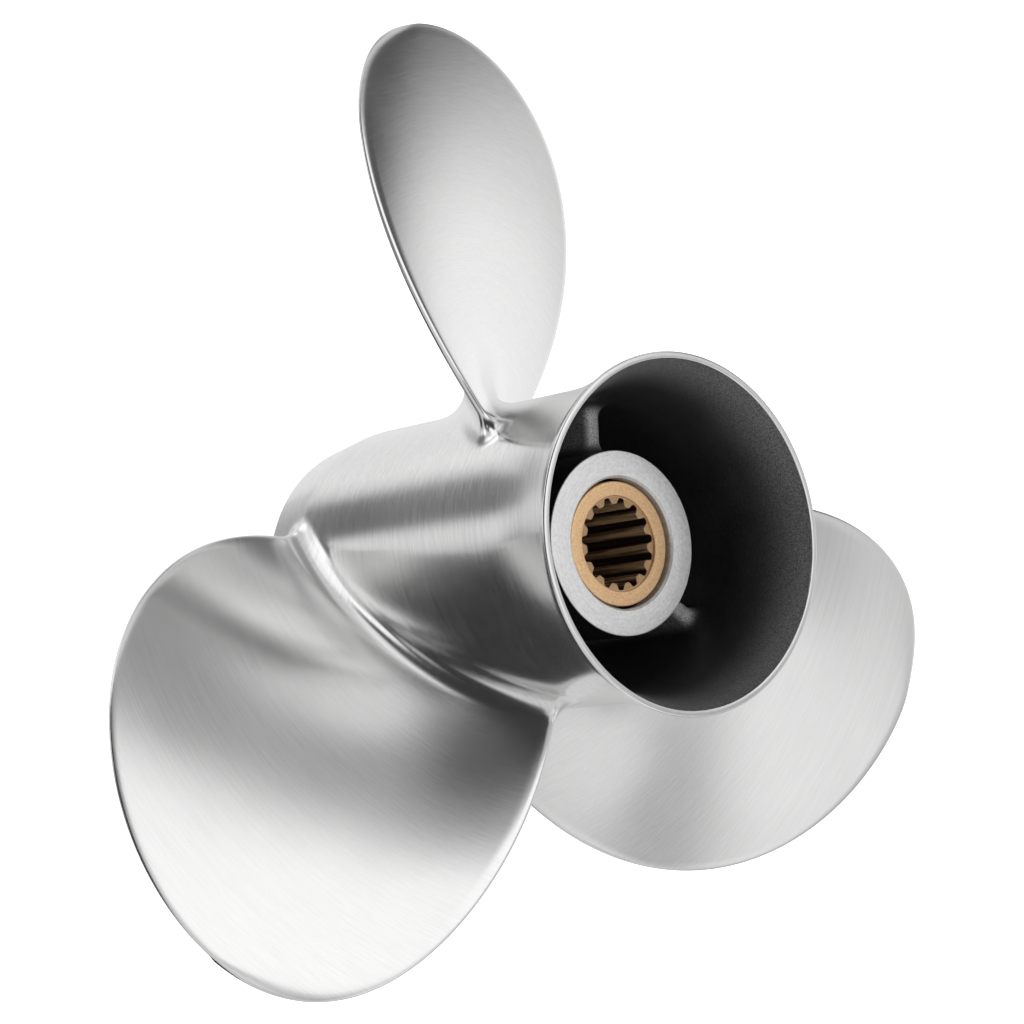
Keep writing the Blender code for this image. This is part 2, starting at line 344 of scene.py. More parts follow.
def grid_faces(rows, columns, wrap=False):
    """Quads of a grid of points stored row by row, each row closed to a ring if wrap is true."""
    faces = []
    for row in range(rows - 1):
        for column in range(columns if wrap else columns - 1):
            following = (column + 1) % columns
            a, b = row * columns + column, row * columns + following
            faces.append((a, b, b + columns, a + columns))
    return faces


def turned_patch(skin, profile, finish=0):
    """A profile of (radius, z) points turned once round the axis."""
    steps = round(FULL_TURN / TURN_STEP)
    angles = CUT_ANGLE + np.arange(steps) * TURN_STEP
    profile = np.asarray(profile, float)
    points = on_axis(profile[:, :1], angles[None, :], profile[:, 1:])
    skin.add(points, grid_faces(len(profile), steps, wrap=True), finish)


def ring_of(angles, radius, z):
    """Points at the given angles, at one radius for all or one for each, and at one height."""
    return on_axis(np.broadcast_to(radius, angles.shape), angles, z)


def add_rings(skin, rings, finish):
    """A stack of rings with as many points each, joined by quads."""
    skin.add(np.concatenate(rings), grid_faces(len(rings), len(rings[0]), wrap=True), finish)


def arc_profile(centre, radius, start, end, steps):
    """Points of an arc in the (radius, z) plane, with angles in degrees from the radial direction."""
    turns = np.radians(np.linspace(start, end, steps + 1))
    return [(centre[0] + radius * math.cos(t), centre[1] + radius * math.sin(t)) for t in turns]


def inside_outline(places, outline):
    """Which places lie inside the closed outline, by counting crossings."""
    inside = np.zeros(len(places), bool)
    for (ax, ay), (bx, by) in zip(outline, np.roll(outline, -1, axis=0)):
        crosses = (ay > places[:, 1]) != (by > places[:, 1])
        share = np.where(crosses, (places[:, 1] - ay) / (by - ay if by != ay else 1.0), 0.0)
        inside ^= crosses & (places[:, 0] < ax + share * (bx - ax))
    return inside


def distance_to_outline(places, outline):
    """How far each place is from the closed outline's nearest edge."""
    nearest = np.full(len(places), np.inf)
    for a, b in zip(outline, np.roll(outline, -1, axis=0)):
        along = b - a
        share = np.clip(((places - a) @ along) / max(along @ along, TINY**2), 0.0, 1.0)
        gap = np.linalg.norm(places - a - share[:, None] * along, axis=1)
        nearest = np.minimum(nearest, gap)
    return nearest


def border_edges(regular, number):
    """Lattice edges between a regular cell and a cell near the hole, or at the rim of such a cell."""
    near_hole = np.pad(~regular, 1, constant_values=False)
    columns, rows = number.shape
    borders = []
    for i in range(columns):
        for j in range(rows):
            if i < columns - 1 and near_hole[i + 1, j] != near_hole[i + 1, j + 1]:
                borders.append((number[i, j], number[i + 1, j]))
            if j < rows - 1 and near_hole[i, j + 1] != near_hole[i + 1, j + 1]:
                borders.append((number[i, j], number[i, j + 1]))
    return borders


def corners_near_hole(regular):
    """Which lattice points are a corner of a cell that isn't regular."""
    columns, rows = regular.shape
    touched = np.zeros((columns + 1, rows + 1), bool)
    for i in (0, 1):
        for j in (0, 1):
            touched[i : columns + i, j : rows + j] |= ~regular
    return touched


def triangulated(outline, lattice_points, chosen, borders):
    """Points and triangles between the outline and the border edges, through the chosen points."""
    order = {int(place): len(outline) + step for step, place in enumerate(chosen)}
    places = np.vstack([outline, lattice_points[chosen]])
    edges = [(step, (step + 1) % len(outline)) for step in range(len(outline))]
    edges += [(order[int(a)], order[int(b)]) for a, b in borders]
    whole_hull = 0
    result = delaunay_2d_cdt([Vector(place) for place in places], edges, [], whole_hull, TINY)
    points = np.array([tuple(place) for place in result[0]])
    triangles = np.array([tuple(face) for face in result[2]])
    return points, triangles


def pierced_sector(skin, radius_at, heights, hole, finish):
    """A third of a turned wall with a hole in it, repeated three times round the axis.

    hole is the loop of (angle, z) points where a blade or a rib leaves the wall. Cells away from it
    stay regular, and the cells near it are triangulated up to the loop. The work is done on the wall
    unrolled flat, and lattice points count round the axis first and along it second.
    """
    scale = float(np.mean(radius_at(heights)))
    columns = round(THIRD_TURN / TURN_STEP)
    angles = CUT_ANGLE - THIRD_TURN + np.arange(columns + 1) * TURN_STEP
    outline = np.stack([hole[:, 0] * scale, hole[:, 1]], -1)
    lattice = np.stack(np.meshgrid(angles * scale, heights, indexing="ij"), -1)
    shape = lattice.shape[:2]
    flat = lattice.reshape(-1, 2)
    number = np.arange(len(flat)).reshape(shape)
    cell = scale * TURN_STEP
    gap = distance_to_outline(flat, outline)
    inside = inside_outline(flat, outline)

    clear = ((gap > CLEAR_CELLS * cell) & ~inside).reshape(shape)
    regular = clear[:-1, :-1] & clear[1:, :-1] & clear[1:, 1:] & clear[:-1, 1:]
    quads = [
        (number[i, j], number[i + 1, j], number[i + 1, j + 1], number[i, j + 1])
        for i, j in zip(*np.nonzero(regular))
    ]

    borders = border_edges(regular, number)
    on_border = np.zeros(len(flat), bool)
    on_border[[end for border in borders for end in border]] = True
    free = (gap > LEAST_CELLS * cell) & ~inside
    chosen = np.nonzero(corners_near_hole(regular).reshape(-1) & (on_border | free))[0]
    around, triangles = triangulated(outline, flat, chosen, borders)
    corners = around[triangles]
    middles = corners.mean(1)
    a, b = corners[:, 1] - corners[:, 0], corners[:, 2] - corners[:, 0]
    wide = np.abs(a[:, 0] * b[:, 1] - a[:, 1] * b[:, 0]) > SLIVER_AREA
    column = np.clip(((middles[:, 0] / scale - angles[0]) / TURN_STEP).astype(int), 0, shape[0] - 2)
    row = np.clip(np.searchsorted(heights, middles[:, 1]) - 1, 0, shape[1] - 2)
    kept = triangles[wide & ~regular[column, row] & ~inside_outline(middles, outline)]

    flat = np.vstack([flat, around])
    faces = quads + [tuple(int(corner) + number.size for corner in face) for face in kept]
    used = sorted(set(corner for face in faces for corner in face))
    order = {corner: place for place, corner in enumerate(used)}
    faces = [tuple(order[corner] for corner in face) for face in faces]
    flat = flat[used]
    z = flat[:, 1]
    for third in range(THIRDS):
        points = on_axis(radius_at(z), flat[:, 0] / scale + third * THIRD_TURN, z)
        skin.add(points, faces, finish)


def blade_radius(span):
    return mix(BARREL_RADIUS, PROPELLER_RADIUS, span)


def blade_pitch(span):
    return mix(PITCH_AT_ROOT, PITCH_AT_TIP, span)


def blade_half_angle(span):
    return np.radians(polynomial(HALF_ANGLE, span))


def blade_height(span, angle, chord):
    """Height of the blade's aft reference surface: pitch, rake and the drop of its trailing part."""
    out = span * BLADE_LENGTH
    rake = RAKE_SLOPE * out - RAKE_EASE * out**2
    drop = TRAILING_DROP * np.maximum(chord, 0.0) ** 3
    return MOUTH_Z - BLADE_CENTRE_BELOW_MOUTH + blade_pitch(span) * angle / FULL_TURN + rake - drop


def blade_thickness(span, size, edge):
    """Thickness that fades towards the outline, and towards the tip by way of the thinning."""
    fullness = np.maximum(1.0 - size**2, 0.0) ** THICKNESS_POWER
    fullness *= 1.0 - THINNING * (1.0 - np.exp(-span / THINNING_REACH))
    return 2 * edge + (ROOT_THICKNESS - 2 * edge) * fullness


def edge_radius(span):
    """The blade's edge is rounded all along, and gets finer towards the tip."""
    return mix(EDGE_RADIUS, TIP_EDGE_RADIUS, np.clip(span, 0.0, 1.0) ** EDGE_FINING)


def edge_gradient(span, lateral):
    """How fast the distance from the half disc's centre changes with real distance, near the rim."""
    across = blade_half_angle(span) * np.hypot(blade_radius(span), blade_pitch(span) / FULL_TURN)
    size = np.maximum(np.hypot(span, lateral), TINY)
    return np.hypot(span / size / BLADE_LENGTH, lateral / size / across)


def fillet_growth(height):
    """How far the root fillet stands out from the blade, at a height above the straight barrel."""
    reach = np.clip(1.0 - height / ROOT_FILLET, 0.0, 1.0)
    return ROOT_FILLET * (1.0 - np.sqrt(np.maximum(1.0 - reach**2, 0.0)))


def blade_points(span, lateral, side):
    """Points of the blade's surface, as (angle, radius, z).

    (span, lateral) fill a half disc whose rim is the blade's outline: span is 0 at the barrel and 1 at
    the tip, and lateral is negative on the leading side. side is +1 on the aft, pressure side and -1
    on the forward, suction side. Points lie behind the reference surface, square to it.
    """
    size = np.hypot(span, lateral)
    inset = np.maximum(1.0 - size, 0.0) / np.maximum(edge_gradient(span, lateral), TINY)
    edge = edge_radius(span)
    cosine = np.clip(1.0 - inset / edge, 0.0, 1.0)
    sine = np.sqrt(1.0 - cosine**2)
    if side > 0:
        rolled = ROLL_DEPTH * np.clip(1.0 - inset / ROLL_WIDTH, 0.0, 1.0) ** 2
        behind = edge * (1.0 - sine) + sine * rolled
    else:
        behind = edge + sine * (blade_thickness(span, size, edge) - edge)

    radius = blade_radius(span)
    height = radius - BARREL_RADIUS
    growth = fillet_growth(height)
    angle = np.radians(polynomial(SKEW_ANGLE, span)) + lateral * blade_half_angle(span)
    chord = lateral / np.sqrt(np.maximum(1.0 - span**2, TINY))
    slope = np.arctan2(blade_pitch(span) / FULL_TURN, radius)
    outward = np.sign(lateral) * cosine
    x = radius * angle + behind * np.sin(slope)
    x += growth * (outward * np.cos(slope) - side * sine * np.sin(slope))
    z = blade_height(span, angle, np.minimum(chord, 1.0)) - behind * np.cos(slope)
    z += growth * (outward * np.sin(slope) + side * sine * np.cos(slope))

    # The lowest part of the blade follows the barrel's own taper and flare
    follow = np.clip(1.0 - (height - ROOT_FILLET) / (2 * ROOT_FILLET), 0.0, 1.0)
    fitted = radius + follow * (barrel_radius(z) - BARREL_RADIUS)
    return x / radius, fitted, z


def blade_grid():
    """The half disc as an inner grid of rows and columns, and a band of rings along its rim.

    A square grid is bent to fit the half disc. That leaves the ends of a row 1/sqrt(2) as high as its
    middle, so the rows of the root fillet reach that much further.
    """
    last = math.sqrt(2.0) * ROOT_FILLET / BLADE_LENGTH
    turns = np.radians(np.linspace(90, 0, FILLET_ROWS))
    rows = np.concatenate([last * (1 - np.sin(turns)), np.linspace(last, 1.0, SPAN_ROWS + 1)[1:]])
    even = np.linspace(-1, 1, CHORD_COLUMNS + 1)
    columns = np.sin(even * math.pi / 2 * COLUMN_REACH)
    columns = mix(columns / columns[-1], even, COLUMN_EVENNESS)
    across, up = np.meshgrid(columns, rows)
    span = up * np.sqrt(1 - across**2 / 2)
    lateral = across * np.sqrt(1 - up**2 / 2)

    left = np.stack([span[:, 0], lateral[:, 0]], -1)
    top = np.stack([span[-1, 1:-1], lateral[-1, 1:-1]], -1)
    right = np.stack([span[::-1, -1], lateral[::-1, -1]], -1)
    rim = np.vstack([left, top, right])
    gradient = edge_gradient(rim[:, 0], rim[:, 1])
    insets = [edge_radius(rim[:, 0]) * (1 - math.cos(math.radians(turn))) for turn in EDGE_TURNS]
    insets += [np.full(len(rim), inset) for inset in EDGE_BLEND]
    band = np.stack([rim * (1 - inset * gradient)[:, None] for inset in insets])

    size = np.hypot(span, lateral)
    safe = np.maximum(size, TINY)
    inner_gradient = edge_gradient(span / safe, lateral / safe)
    shrink = 1 - EDGE_BLEND[-1] * inner_gradient * size**3
    return span * shrink, lateral * shrink, band


def add_blades(skin):
    """Three blades. Returns the loop where the first one's root fillet meets the barrel."""
    span, lateral, band = blade_grid()
    rings = band.shape[0]
    sides = []
    for side in (1, -1):
        inner = blade_points(span, lateral, side)
        outer = blade_points(band[..., 0], band[..., 1], side)
        for third in range(THIRDS):
            for angle, radius, z in (inner, outer):
                skin.add(on_axis(radius, angle + third * THIRD_TURN, z), grid_faces(*z.shape), STEEL)
        leading = [(outer[0][ring, 0], outer[2][ring, 0]) for ring in range(rings - 1)]
        middle = list(zip(inner[0][0], inner[2][0]))
        trailing = [(outer[0][ring, -1], outer[2][ring, -1]) for ring in range(rings - 2, -1, -1)]
        sides.append(leading + middle + trailing)
    pressure, suction = sides
    return np.array(pressure + suction[::-1][1:-1])


def rib_loop(grown):
    """The outline of a cut through a rib, as (sideways, z) points with rounded corners.

    It is larger all round by grown, for the fillets at the rib's ends.
    """
    half = RIB_HALF_THICKNESS + grown
    low, high = RIB_FORWARD_Z - grown, RIB_AFT_Z + grown
    corner = RIB_CORNER + grown
    side_length = high - low - 2 * corner
    loop = []
    for sign_x, sign_z, start in ((1, 1, 0), (-1, 1, 90), (-1, -1, 180), (1, -1, 270)):
        centre = (sign_x * (half - corner), (high - corner) if sign_z > 0 else (low + corner))
        loop += arc_profile(centre, corner, start, start + 90, RIB_ARC_POINTS - 1)
        if sign_x * sign_z < 0:
            for step in range(1, RIB_SIDE_STEPS):
                z = centre[1] - sign_z * side_length * step / RIB_SIDE_STEPS
                loop.append((sign_x * half, z))
    return np.array(loop)


def add_ribs(skin):
    """Three ribs with fillets at both ends. Returns the loops where they meet the hub and the barrel."""
    turns = np.radians(np.linspace(90, 0, RIB_ARC_POINTS))
    fillet = [(RIB_FILLET * (1 - math.sin(t)), RIB_FILLET * (1 - math.cos(t))) for t in turns]
    gap = BORE_RADIUS - HUB_RADIUS
    rows = list(fillet)
    for step in range(1, RIB_HEIGHT_STEPS):
        share = step / RIB_HEIGHT_STEPS
        rows.append((mix(fillet[-1][0], gap - fillet[-1][0], share), 0.0))
    rows += [(gap - height, grown) for height, grown in reversed(fillet)]
    loops = []
    points = []
    for number, (height, grown) in enumerate(rows):
        sideways, z = rib_loop(grown).T
        radius = bore_radius(z) if number == len(rows) - 1 else HUB_RADIUS + height
        angle = RIB_TURN + np.arcsin(sideways / radius)
        loops.append(np.stack([angle, z], -1))
        points.append(on_axis(radius, angle, z))
    points = np.stack(points)
    for third in range(THIRDS):
        turn = Matrix.Rotation(third * THIRD_TURN, 3, "Z")
        turned = points.reshape(-1, 3) @ np.array(turn).T
        skin.add(turned, grid_faces(*points.shape[:2], wrap=True), BLACK)
    return loops[0], loops[-1]


def add_rims(skin, top, inner_top, bottom):
    """The rounded edges of the barrel's wall, at the mouth and at the nose."""
    outer = float(barrel_radius(top)) - RIM_ROUND
    inner = float(bore_radius(inner_top)) + RIM_INNER_ROUND
    rim = arc_profile((outer, top), RIM_ROUND, 0, 90, steps=5)
    rim += [(mix(outer, inner, 0.5), MOUTH_Z)]
    rim += arc_profile((inner, inner_top), RIM_INNER_ROUND, 90, 180, steps=4)
    turned_patch(skin, rim, STEEL)
    outer = float(barrel_radius(bottom)) - RIM_ROUND
    inner = float(bore_radius(bottom)) + RIM_ROUND
    nose = arc_profile((inner, bottom), RIM_ROUND, 180, 270, steps=4)
    nose += arc_profile((outer, bottom), RIM_ROUND, 270, 360, steps=4)
    turned_patch(skin, nose, STEEL)


def add_hub_ends(skin):
    """The hub tube's edges, its machined aft face, its bore and its front edge."""
    rounded = HUB_RADIUS - HUB_ROUND
    edge = arc_profile((rounded, HUB_FACE_Z - HUB_ROUND), HUB_ROUND, 0, 90, steps=3)
    turned_patch(skin, edge, MACHINED)
    machined_end = (HUB_LIP_RADIUS, HUB_FACE_Z - HUB_MACHINED_DEPTH)
    face = [(rounded, HUB_FACE_Z), (HUB_LIP_RADIUS + HUB_BEVEL, HUB_FACE_Z)]
    face += [(HUB_LIP_RADIUS, HUB_FACE_Z - HUB_BEVEL), machined_end]
    turned_patch(skin, face, MACHINED)
    step = HUB_FACE_Z - HUB_LIP_LENGTH
    bore = [machined_end, (HUB_LIP_RADIUS, step), (HUB_BORE_RADIUS, step)]
    bore += [(HUB_BORE_RADIUS, HUB_FRONT_Z), (rounded, HUB_FRONT_Z)]
    turned_patch(skin, bore, BLACK)
    front = arc_profile((rounded, HUB_FRONT_Z + HUB_ROUND), HUB_ROUND, 270, 360, steps=5)
    turned_patch(skin, front, BLACK)


def casting(steel, black, machined):
    """The one-piece casting: barrel, blades, inner hub tube and ribs, as one closed skin."""
    skin = Skin()
    top = MOUTH_Z - RIM_ROUND
    inner_top = MOUTH_Z - RIM_INNER_ROUND
    bottom = FORWARD_Z + RIM_ROUND
    foot = add_blades(skin)
    pierced_sector(skin, barrel_radius, heights_between(bottom, top), foot, STEEL)
    add_rims(skin, top, inner_top, bottom)
    hub_end, barrel_end = add_ribs(skin)
    pierced_sector(skin, bore_radius, heights_between(bottom, inner_top), barrel_end, BLACK)
    hub_heights = heights_between(HUB_FRONT_Z + HUB_ROUND, HUB_FACE_Z - HUB_ROUND)
    pierced_sector(skin, hub_radius, hub_heights, hub_end, BLACK)
    add_hub_ends(skin)
    return skin.piece("casting_skin", [steel, black, machined])


def spline_outline():
    """Angles and radii of the splined bore's outline: rounded teeth that point inwards."""
    outline = []
    for tooth in range(SPLINE_TEETH):
        for step in range(TOOTH_STEPS):
            place = step / TOOTH_STEPS - 0.5
            flank = (TOOTH_HALF_WIDTH - abs(place)) / FLANK_SOFTNESS
            rise = 1 / (1 + math.exp(-FLANK_STEEPNESS * flank))
            radius = mix(SPLINE_MAJOR_RADIUS, SPLINE_MINOR_RADIUS, rise)
            angle = SPLINE_TURN + FULL_TURN * (tooth + place) / SPLINE_TEETH
            outline.append((angle, radius))
    return np.array(outline).T


def sleeve(face_finish, bore_finish):
    """The splined sleeve with its aft flange."""
    skin = Skin()
    angles, teeth = spline_outline()
    face, front = SLEEVE_HIGH.z, SLEEVE_LOW.z
    neck = face - FLANGE_LENGTH
    aft = face - SPLINE_RECESS
    fore = front + SPLINE_RECESS
    bevelled = COUNTERBORE_RADIUS + COUNTERBORE_BEVEL
    spline_start = ring_of(angles, teeth + SPLINE_BEVEL, aft)

    outside = [(bevelled, face)]
    outside += arc_profile((FLANGE_RADIUS - SLEEVE_EDGE, face - SLEEVE_EDGE), SLEEVE_EDGE, 90, 0, steps=5)
    outside += [(FLANGE_RADIUS, neck + FLANGE_BACK_EDGE), (FLANGE_RADIUS - FLANGE_BACK_EDGE, neck)]
    outside += [(SLEEVE_RADIUS, neck), (SLEEVE_RADIUS, front + SLEEVE_EDGE)]
    outside += [(SLEEVE_RADIUS - SLEEVE_EDGE, front), (bevelled, front)]
    add_rings(skin, [ring_of(angles, radius, z) for radius, z in outside], FACE)

    counterbore = [(bevelled, face), (COUNTERBORE_RADIUS, face - COUNTERBORE_BEVEL)]
    counterbore += [(COUNTERBORE_RADIUS, aft)]
    add_rings(skin, [ring_of(angles, radius, z) for radius, z in counterbore] + [spline_start], FACE)

    heights = np.linspace(aft - SPLINE_BEVEL, fore + SPLINE_BEVEL, SPLINE_RINGS)
    bore = [spline_start] + [ring_of(angles, teeth, z) for z in heights]
    bore += [ring_of(angles, teeth + SPLINE_BEVEL, fore)]
    bore += [ring_of(angles, COUNTERBORE_RADIUS, fore), ring_of(angles, bevelled, front)]
    add_rings(skin, bore, BORE)
    return skin.piece("sleeve_skin", [face_finish, bore_finish])


def bush(finish):
    """The rubber bush: a thick ring with slightly hollow ends."""
    skin = Skin()
    outer = BUSH_HIGH.x - BUSH_EDGE
    inner = SLEEVE_RADIUS + BUSH_CLEARANCE + BUSH_EDGE
    low, high = BUSH_LOW.z, BUSH_HIGH.z
    profile = arc_profile((outer, high - BUSH_EDGE), BUSH_EDGE, 0, 90, steps=5)
    for step in range(1, BUSH_END_STEPS):
        share = step / BUSH_END_STEPS
        profile.append((mix(outer, inner, share), high - BUSH_SAG * math.sin(math.pi * share)))
    profile += arc_profile((inner, high - BUSH_EDGE), BUSH_EDGE, 90, 180, steps=5)
    profile += [(radius, low + high - z) for radius, z in reversed(profile)]
    profile.append(profile[0])
    turned_patch(skin, profile)
    return skin.piece("bush_skin", [finish])


class Nodes:
    """Short calls that each add a node to a tree and return its output."""

    def __init__(self, tree):
        self.tree = tree

    def node(self, kind, **settings):
        made = self.tree.nodes.new(kind)
        for name, value in settings.items():
            setattr(made, name, value)
        return made

    def link(self, value, socket):
        """Sets a number, a vector or a colour on the socket, or links another node's output to it."""
        if isinstance(value, (int, float)):
            socket.default_value = value
        elif isinstance(value, tuple):
            socket.default_value = (*value, 1.0) if len(socket.default_value) == 4 else value
        else:
            self.tree.links.new(value, socket)

    def link_all(self, values, sockets):
        for value, socket in zip(values, sockets):
            self.link(value, socket)

    def math(self, operation, *values):
        made = self.node("ShaderNodeMath", operation=operation)
        self.link_all(values, made.inputs)
        return made.outputs[0]

    def vector(self, operation, *values):
        made = self.node("ShaderNodeVectorMath", operation=operation)
        self.link_all(values, made.inputs)
        return made.outputs["Value" if operation in ("LENGTH", "DOT_PRODUCT") else "Vector"]

    def scaled(self, value, factor):
        made = self.node("ShaderNodeVectorMath", operation="SCALE")
        self.link(value, made.inputs[0])
        self.link(factor, made.inputs["Scale"])
        return made.outputs[0]

    def combine(self, x, y, z):
        made = self.node("ShaderNodeCombineXYZ")
        self.link_all((x, y, z), made.inputs)
        return made.outputs[0]

    def noise(self, vector, scale, detail=3.0, roughness=0.5):
        made = self.node("ShaderNodeTexNoise")
        self.link(vector, made.inputs["Vector"])
        self.link(scale, made.inputs["Scale"])
        self.link(detail, made.inputs["Detail"])
        self.link(roughness, made.inputs["Roughness"])
        return made.outputs["Fac"]

    def spread(self, value, low, high, to_low=0.0, to_high=1.0):
        """Eases from to_low where the value is low to to_high where it is high."""
        made = self.node("ShaderNodeMapRange", interpolation_type="SMOOTHSTEP")
        self.link_all((value, low, high, to_low, to_high), made.inputs)
        return made.outputs[0]

    def mix_value(self, share, low, high):
        made = self.node("ShaderNodeMix", data_type="FLOAT")
        self.link(share, made.inputs["Factor"])
        self.link_all((low, high), made.inputs[2:4])
        return made.outputs[0]

    def mix_colour(self, share, low, high):
        made = self.node("ShaderNodeMix", data_type="RGBA")
        self.link(share, made.inputs["Factor"])
        self.link_all((low, high), made.inputs[6:8])
        return made.outputs[2]

    def bump(self, height, distance, strength):
        made = self.node("ShaderNodeBump")
        self.link(height, made.inputs["Height"])
        self.link(distance, made.inputs["Distance"])
        self.link(strength, made.inputs["Strength"])
        return made.outputs[0]


class Paint(Nodes):
    """A material under construction."""

    def __init__(self, name):
        self.material = bpy.data.materials.new(name)
        self.material.use_nodes = True
        super().__init__(self.material.node_tree)
        self.shader = self.tree.nodes["Principled BSDF"]
        self.place = self.node("ShaderNodeTexCoord").outputs["Object"]

    def set(self, **inputs):
        for name, value in inputs.items():
            self.link(value, self.shader.inputs[name.replace("_", " ")])
        return self.material

    def cylinder(self):
        """(radius, height, unit direction from the axis) of the shading point."""
        parts = self.node("ShaderNodeSeparateXYZ")
        self.link(self.place, parts.inputs[0])
        x, y, height = parts.outputs
        flat = self.combine(x, y, 0.0)
        return self.vector("LENGTH", flat), height, self.vector("NORMALIZE", flat)

    def lines(self, across, facing, fineness, breaks):
        """Streaks round the axis: fine across it, and broken up slowly along it."""
        moved = self.combine(self.math("MULTIPLY", across, fineness), 0.0, 0.0)
        place = self.vector("ADD", moved, self.scaled(facing, breaks))
        return self.noise(place, scale=1.0, roughness=0.6)

    def round_axis(self):
        """The direction round the shaft axis, along which the metal is brushed."""
        return self.vector("CROSS_PRODUCT", (0.0, 0.0, 1.0), self.place)


def brushed_steel():
    """Satin stainless steel with fine polishing lines that run round the shaft axis."""
    paint = Paint("satin_stainless")
    radius, height, facing = paint.cylinder()
    on_blade = paint.spread(radius, *FINISH_CHANGE)
    across = paint.mix_value(on_blade, height, radius)
    fine = paint.lines(across, facing, fineness=3200.0, breaks=14.0)
    strokes = paint.lines(across, facing, fineness=1300.0, breaks=22.0)
    broad = paint.lines(across, facing, fineness=520.0, breaks=3.0)
    clouds = paint.noise(paint.place, scale=22.0)
    streaks = paint.mix_value(0.25, paint.mix_value(0.5, fine, strokes), broad)
    contrast = paint.mix_value(on_blade, 1.0, 0.5)
    lit = paint.math("MULTIPLY", paint.spread(streaks, 0.34, 0.66, -0.5, 0.5), contrast)
    softness = paint.math("MULTIPLY_ADD", lit, 0.03, 0.19)
    relief = paint.mix_value(on_blade, 0.006 * MM, 0.016 * MM)
    return paint.set(
        Base_Color=paint.mix_colour(paint.math("ADD", lit, 0.5), *STEEL_TONES),
        Metallic=1.0,
        Roughness=paint.math("ADD", softness, paint.spread(clouds, 0.3, 0.7, -0.025, 0.025)),
        Anisotropic=0.5,
        Anisotropic_Rotation=0.25,
        Tangent=paint.round_axis(),
        Normal=paint.bump(strokes, relief, strength=1.0),
    )


def cast_black():
    """Dark painted casting with the grain of a sand mould, paler near the mouth by painted light, and
    paler on the ribs by wear and painted light together.
    """
    paint = Paint("black_cast")
    radius, height, _ = paint.cylinder()
    grain = paint.noise(paint.place, scale=2200.0, roughness=0.7)
    waves = paint.noise(paint.place, scale=60.0)
    tone = paint.mix_colour(paint.spread(paint.mix_value(0.4, grain, waves), 0.35, 0.65), *CAST_TONES)
    # The pale worn tone is wear on the ribs, and painted light near the mouth and on the ribs
    worn = paint.mix_colour(paint.spread(grain, 0.35, 0.65), *WORN_AND_LIT_CAST_TONES)
    # Painted light: the inside of the barrel gets lighter towards the mouth
    painted_light_near_mouth = paint.spread(height, MOUTH_Z - 22.0 * MM, MOUTH_Z, 0.0, 0.4)
    # The ribs are paler, partly from wear and partly from painted light; the same band also deepens their
    # grain's relief
    outward = paint.spread(radius, HUB_RADIUS + 0.5 * MM, HUB_RADIUS + 5.0 * MM)
    inward = paint.spread(radius, HUB_RADIUS + 13.0 * MM, HUB_RADIUS + 17.5 * MM, 1.0, 0.0)
    on_ribs = paint.math("MULTIPLY", outward, inward)
    relief = paint.mix_value(on_ribs, 0.12 * MM, 0.3 * MM)
    return paint.set(
        Base_Color=paint.mix_colour(paint.math("MAXIMUM", painted_light_near_mouth, on_ribs), tone, worn),
        Metallic=0.3,
        Roughness=paint.spread(grain, 0.3, 0.7, 0.34, 0.5),
        Normal=paint.bump(grain, relief, strength=0.7),
    )


def machined_steel():
    """The hub's turned face: fine rings and a faint grain."""
    paint = Paint("machined_face")
    radius, _, facing = paint.cylinder()
    rings = paint.lines(radius, facing, fineness=3000.0, breaks=4.0)
    grain = paint.noise(paint.place, scale=1100.0, roughness=0.65)
    marks = paint.mix_value(0.5, rings, grain)
    return paint.set(
        Base_Color=paint.mix_colour(paint.spread(marks, 0.35, 0.65), *MACHINED_TONES),
        Metallic=0.6,
        Roughness=paint.spread(grain, 0.3, 0.7, 0.38, 0.5),
        Normal=paint.bump(marks, 0.02 * MM, strength=0.5),
    )


def face_brass():
    """The sleeve's turned end face: golden with a fine speckle, and with painted shade darker down in the
    counterbore.
    """
    paint = Paint("pale_brass")
    radius, _, facing = paint.cylinder()
    rings = paint.lines(radius, facing, fineness=2500.0, breaks=2.0)
    grain = paint.noise(paint.place, scale=1500.0, roughness=0.7)
    speckle = paint.spread(paint.mix_value(0.6, rings, grain), 0.35, 0.65)
    # Painted shade: the face darkens down in the counterbore
    recess_shade = paint.spread(radius, COUNTERBORE_RADIUS - 0.4 * MM, COUNTERBORE_RADIUS, 0.55, 0.0)
    tone = paint.mix_colour(speckle, *BRASS_TONES)
    return paint.set(
        Base_Color=paint.mix_colour(recess_shade, tone, BRASS_RECESS_SHADE_TONE),
        Metallic=0.75,
        Roughness=paint.spread(rings, 0.3, 0.7, 0.34, 0.46),
        Normal=paint.bump(grain, 0.03 * MM, strength=0.5),
    )


def bore_brass():
    """The splines: brown and worn, brighter on the crests, with painted shade dark in the grooves."""
    paint = Paint("spline_brass")
    radius, _, _ = paint.cylinder()
    drawn_out = paint.vector("MULTIPLY", paint.place, (900.0, 900.0, 30.0))
    scratches = paint.noise(drawn_out, scale=1.0, roughness=0.6)
    # Painted shade: the colour darkens into the grooves between the crests
    crest = paint.spread(radius, SPLINE_MINOR_RADIUS, SPLINE_MAJOR_RADIUS - 0.3 * MM, 1.0, 0.0)
    worn = paint.mix_colour(paint.spread(scratches, 0.36, 0.64), *SPLINE_TONES)
    return paint.set(
        Base_Color=paint.mix_colour(crest, SPLINE_GROOVE_SHADE_TONE, worn),
        Metallic=0.6,
        Roughness=paint.spread(scratches, 0.3, 0.7, 0.3, 0.45),
        Normal=paint.bump(scratches, 0.04 * MM, strength=0.5),
    )


def rubber():
    """Matt black rubber with a fine moulded grain."""
    paint = Paint("black_rubber")
    grain = paint.noise(paint.place, scale=800.0)
    return paint.set(
        Base_Color=RUBBER_TONE,
        Metallic=0.0,
        Roughness=paint.spread(grain, 0.3, 0.7, 0.55, 0.75),
        Normal=paint.bump(grain, 0.1 * MM, strength=0.4),
    )


